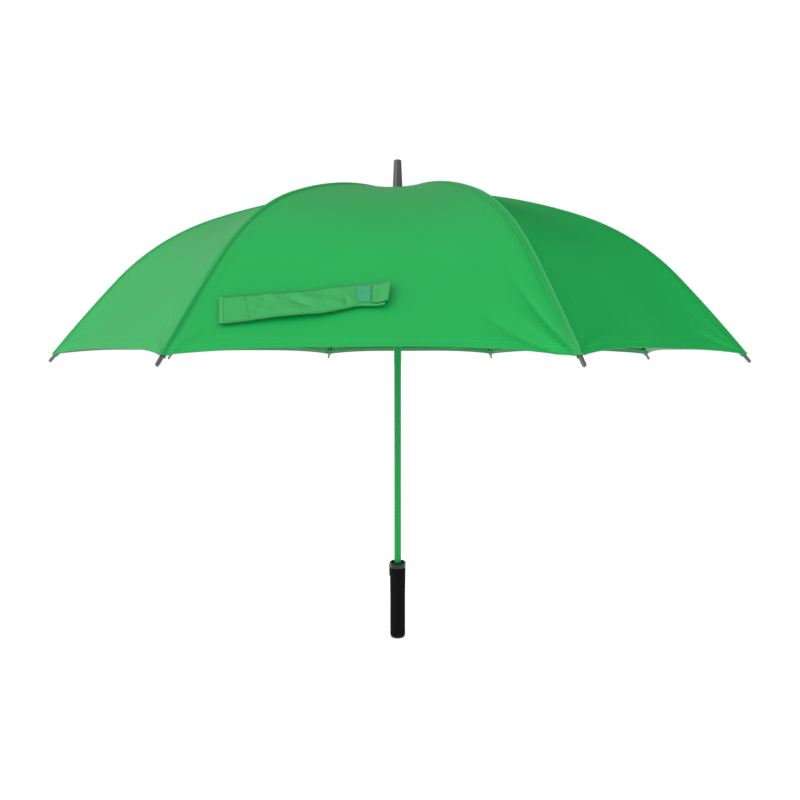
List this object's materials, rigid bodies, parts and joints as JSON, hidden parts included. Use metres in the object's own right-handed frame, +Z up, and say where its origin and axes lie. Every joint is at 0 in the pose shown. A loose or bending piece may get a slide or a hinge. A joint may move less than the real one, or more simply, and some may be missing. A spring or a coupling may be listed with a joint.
{
  "type": "golf umbrella",
  "caption": "Automatic golf umbrella, open: domed gore canopy on hinged ribs and stretchers, sliding runner, straight shaft and a straight foam grip with push button.",
  "frame": {"origin": "middle of the handle's bottom end", "axes": "+Z up the shaft to the ferrule; the strap lies on the gore that faces -Y"},
  "size_m": [1.1116, 1.1116, 0.9309],
  "materials": {
    "canopy_cloth": "satin",
    "strap_loop": "matt",
    "shaft_green": "satin",
    "gunmetal": "satin",
    "rib_steel": "satin",
    "steel": "satin",
    "black_plastic": "satin",
    "gloss_black": "gloss",
    "grip_foam": "matt"
  },
  "bodies": {
    "root": {"shaft": "shaft_green", "notch_wire": "steel", "notch_pin": "steel", "top_notch": "black_plastic", "crown_cap": "black_plastic", "ferrule": "gunmetal", "canopy": "canopy_cloth", "strap": "canopy_cloth", "strap_patch": "strap_loop", "spring_plug": "black_plastic", "opening_spring": "steel", "handle_core": "black_plastic", "grip_collar": "gloss_black", "foam_grip": "grip_foam", "end_cap": "gloss_black"},
    "runner": {"runner": "black_plastic", "runner_wire": "steel", "drive_pin": "steel"},
    "button": {"push_button": "gloss_black", "runner_catch": "steel"},
    "rib_1": {"rib_inner_1": "rib_steel", "rib_joint_1": "black_plastic"},
    "rib_end_1": {"rib_outer_1": "rib_steel", "rib_tip_1": "gunmetal"},
    "stretcher_1": {"stretcher_1": "rib_steel"},
    "rib_2": {"rib_inner_2": "rib_steel", "rib_joint_2": "black_plastic"},
    "rib_end_2": {"rib_outer_2": "rib_steel", "rib_tip_2": "gunmetal"},
    "stretcher_2": {"stretcher_2": "rib_steel"},
    "rib_3": {"rib_inner_3": "rib_steel", "rib_joint_3": "black_plastic"},
    "rib_end_3": {"rib_outer_3": "rib_steel", "rib_tip_3": "gunmetal"},
    "stretcher_3": {"stretcher_3": "rib_steel"},
    "rib_4": {"rib_inner_4": "rib_steel", "rib_joint_4": "black_plastic"},
    "rib_end_4": {"rib_outer_4": "rib_steel", "rib_tip_4": "gunmetal"},
    "stretcher_4": {"stretcher_4": "rib_steel"},
    "rib_5": {"rib_inner_5": "rib_steel", "rib_joint_5": "black_plastic"},
    "rib_end_5": {"rib_outer_5": "rib_steel", "rib_tip_5": "gunmetal"},
    "stretcher_5": {"stretcher_5": "rib_steel"},
    "rib_6": {"rib_inner_6": "rib_steel", "rib_joint_6": "black_plastic"},
    "rib_end_6": {"rib_outer_6": "rib_steel", "rib_tip_6": "gunmetal"},
    "stretcher_6": {"stretcher_6": "rib_steel"},
    "rib_7": {"rib_inner_7": "rib_steel", "rib_joint_7": "black_plastic"},
    "rib_end_7": {"rib_outer_7": "rib_steel", "rib_tip_7": "gunmetal"},
    "stretcher_7": {"stretcher_7": "rib_steel"},
    "rib_8": {"rib_inner_8": "rib_steel", "rib_joint_8": "black_plastic"},
    "rib_end_8": {"rib_outer_8": "rib_steel", "rib_tip_8": "gunmetal"},
    "stretcher_8": {"stretcher_8": "rib_steel"}
  },
  "joints": [
    {"name": "runner_slide", "type": "slide", "parent": "root", "child": "runner", "axis": [0, 0, -1], "range_m": [0, 0.50471], "stiffness_N_per_m": 40, "springref_m": -0.6, "deforming": ["opening_spring"]},
    {"name": "button_press", "type": "slide", "parent": "root", "child": "button", "axis": [1, 0, 0], "range_m": [0, 0.0025], "stiffness_N_per_m": 600, "springref_m": -0.002},
    {"name": "rib_hinge_1", "type": "hinge", "parent": "root", "child": "rib_1", "pos_m": [0.01201, 0.00497, 0.863], "axis": [-0.3827, 0.9239, 0], "range_deg": [0, 75.6]},
    {"name": "rib_flex_1", "type": "hinge", "parent": "rib_1", "child": "rib_end_1", "pos_m": [0.31561, 0.13073, 0.79165], "axis": [-0.3827, 0.9239, 0], "range_deg": [-30.17, 0]},
    {"name": "stretcher_hinge_1", "type": "hinge", "parent": "rib_1", "child": "stretcher_1", "pos_m": [0.30636, 0.1269, 0.78816], "axis": [-0.3827, 0.9239, 0], "range_deg": [-151.18, 0]},
    {"name": "rib_hinge_2", "type": "hinge", "parent": "root", "child": "rib_2", "pos_m": [0.00497, 0.01201, 0.863], "axis": [-0.9239, 0.3827, 0], "range_deg": [0, 75.6]},
    {"name": "rib_flex_2", "type": "hinge", "parent": "rib_2", "child": "rib_end_2", "pos_m": [0.13073, 0.31561, 0.79165], "axis": [-0.9239, 0.3827, 0], "range_deg": [-30.17, 0]},
    {"name": "stretcher_hinge_2", "type": "hinge", "parent": "rib_2", "child": "stretcher_2", "pos_m": [0.1269, 0.30636, 0.78816], "axis": [-0.9239, 0.3827, 0], "range_deg": [-151.18, 0]},
    {"name": "rib_hinge_3", "type": "hinge", "parent": "root", "child": "rib_3", "pos_m": [-0.00497, 0.01201, 0.863], "axis": [-0.9239, -0.3827, 0], "range_deg": [0, 75.6]},
    {"name": "rib_flex_3", "type": "hinge", "parent": "rib_3", "child": "rib_end_3", "pos_m": [-0.13073, 0.31561, 0.79165], "axis": [-0.9239, -0.3827, 0], "range_deg": [-30.17, 0]},
    {"name": "stretcher_hinge_3", "type": "hinge", "parent": "rib_3", "child": "stretcher_3", "pos_m": [-0.1269, 0.30636, 0.78816], "axis": [-0.9239, -0.3827, 0], "range_deg": [-151.18, 0]},
    {"name": "rib_hinge_4", "type": "hinge", "parent": "root", "child": "rib_4", "pos_m": [-0.01201, 0.00497, 0.863], "axis": [-0.3827, -0.9239, 0], "range_deg": [0, 75.6]},
    {"name": "rib_flex_4", "type": "hinge", "parent": "rib_4", "child": "rib_end_4", "pos_m": [-0.31561, 0.13073, 0.79165], "axis": [-0.3827, -0.9239, 0], "range_deg": [-30.17, 0]},
    {"name": "stretcher_hinge_4", "type": "hinge", "parent": "rib_4", "child": "stretcher_4", "pos_m": [-0.30636, 0.1269, 0.78816], "axis": [-0.3827, -0.9239, 0], "range_deg": [-151.18, 0]},
    {"name": "rib_hinge_5", "type": "hinge", "parent": "root", "child": "rib_5", "pos_m": [-0.01201, -0.00497, 0.863], "axis": [0.3827, -0.9239, 0], "range_deg": [0, 75.6]},
    {"name": "rib_flex_5", "type": "hinge", "parent": "rib_5", "child": "rib_end_5", "pos_m": [-0.31561, -0.13073, 0.79165], "axis": [0.3827, -0.9239, 0], "range_deg": [-30.17, 0]},
    {"name": "stretcher_hinge_5", "type": "hinge", "parent": "rib_5", "child": "stretcher_5", "pos_m": [-0.30636, -0.1269, 0.78816], "axis": [0.3827, -0.9239, 0], "range_deg": [-151.18, 0]},
    {"name": "rib_hinge_6", "type": "hinge", "parent": "root", "child": "rib_6", "pos_m": [-0.00497, -0.01201, 0.863], "axis": [0.9239, -0.3827, 0], "range_deg": [0, 75.6]},
    {"name": "rib_flex_6", "type": "hinge", "parent": "rib_6", "child": "rib_end_6", "pos_m": [-0.13073, -0.31561, 0.79165], "axis": [0.9239, -0.3827, 0], "range_deg": [-30.17, 0]},
    {"name": "stretcher_hinge_6", "type": "hinge", "parent": "rib_6", "child": "stretcher_6", "pos_m": [-0.1269, -0.30636, 0.78816], "axis": [0.9239, -0.3827, 0], "range_deg": [-151.18, 0]},
    {"name": "rib_hinge_7", "type": "hinge", "parent": "root", "child": "rib_7", "pos_m": [0.00497, -0.01201, 0.863], "axis": [0.9239, 0.3827, 0], "range_deg": [0, 75.6]},
    {"name": "rib_flex_7", "type": "hinge", "parent": "rib_7", "child": "rib_end_7", "pos_m": [0.13073, -0.31561, 0.79165], "axis": [0.9239, 0.3827, 0], "range_deg": [-30.17, 0]},
    {"name": "stretcher_hinge_7", "type": "hinge", "parent": "rib_7", "child": "stretcher_7", "pos_m": [0.1269, -0.30636, 0.78816], "axis": [0.9239, 0.3827, 0], "range_deg": [-151.18, 0]},
    {"name": "rib_hinge_8", "type": "hinge", "parent": "root", "child": "rib_8", "pos_m": [0.01201, -0.00497, 0.863], "axis": [0.3827, 0.9239, 0], "range_deg": [0, 75.6]},
    {"name": "rib_flex_8", "type": "hinge", "parent": "rib_8", "child": "rib_end_8", "pos_m": [0.31561, -0.13073, 0.79165], "axis": [0.3827, 0.9239, 0], "range_deg": [-30.17, 0]},
    {"name": "stretcher_hinge_8", "type": "hinge", "parent": "rib_8", "child": "stretcher_8", "pos_m": [0.30636, -0.1269, 0.78816], "axis": [0.3827, 0.9239, 0], "range_deg": [-151.18, 0]}
  ],
  "couplings": [
    {"joint": "rib_hinge_1", "follows": "runner_slide", "rad_per_m": 2.6136},
    {"joint": "rib_flex_1", "follows": "runner_slide", "rad_per_m": -1.0425},
    {"joint": "stretcher_hinge_1", "follows": "runner_slide", "rad_per_m": -5.2273},
    {"joint": "rib_hinge_2", "follows": "runner_slide", "rad_per_m": 2.6136},
    {"joint": "rib_flex_2", "follows": "runner_slide", "rad_per_m": -1.0425},
    {"joint": "stretcher_hinge_2", "follows": "runner_slide", "rad_per_m": -5.2273},
    {"joint": "rib_hinge_3", "follows": "runner_slide", "rad_per_m": 2.6136},
    {"joint": "rib_flex_3", "follows": "runner_slide", "rad_per_m": -1.0425},
    {"joint": "stretcher_hinge_3", "follows": "runner_slide", "rad_per_m": -5.2273},
    {"joint": "rib_hinge_4", "follows": "runner_slide", "rad_per_m": 2.6136},
    {"joint": "rib_flex_4", "follows": "runner_slide", "rad_per_m": -1.0425},
    {"joint": "stretcher_hinge_4", "follows": "runner_slide", "rad_per_m": -5.2273},
    {"joint": "rib_hinge_5", "follows": "runner_slide", "rad_per_m": 2.6136},
    {"joint": "rib_flex_5", "follows": "runner_slide", "rad_per_m": -1.0425},
    {"joint": "stretcher_hinge_5", "follows": "runner_slide", "rad_per_m": -5.2273},
    {"joint": "rib_hinge_6", "follows": "runner_slide", "rad_per_m": 2.6136},
    {"joint": "rib_flex_6", "follows": "runner_slide", "rad_per_m": -1.0425},
    {"joint": "stretcher_hinge_6", "follows": "runner_slide", "rad_per_m": -5.2273},
    {"joint": "rib_hinge_7", "follows": "runner_slide", "rad_per_m": 2.6136},
    {"joint": "rib_flex_7", "follows": "runner_slide", "rad_per_m": -1.0425},
    {"joint": "stretcher_hinge_7", "follows": "runner_slide", "rad_per_m": -5.2273},
    {"joint": "rib_hinge_8", "follows": "runner_slide", "rad_per_m": 2.6136},
    {"joint": "rib_flex_8", "follows": "runner_slide", "rad_per_m": -1.0425},
    {"joint": "stretcher_hinge_8", "follows": "runner_slide", "rad_per_m": -5.2273}
  ]
}
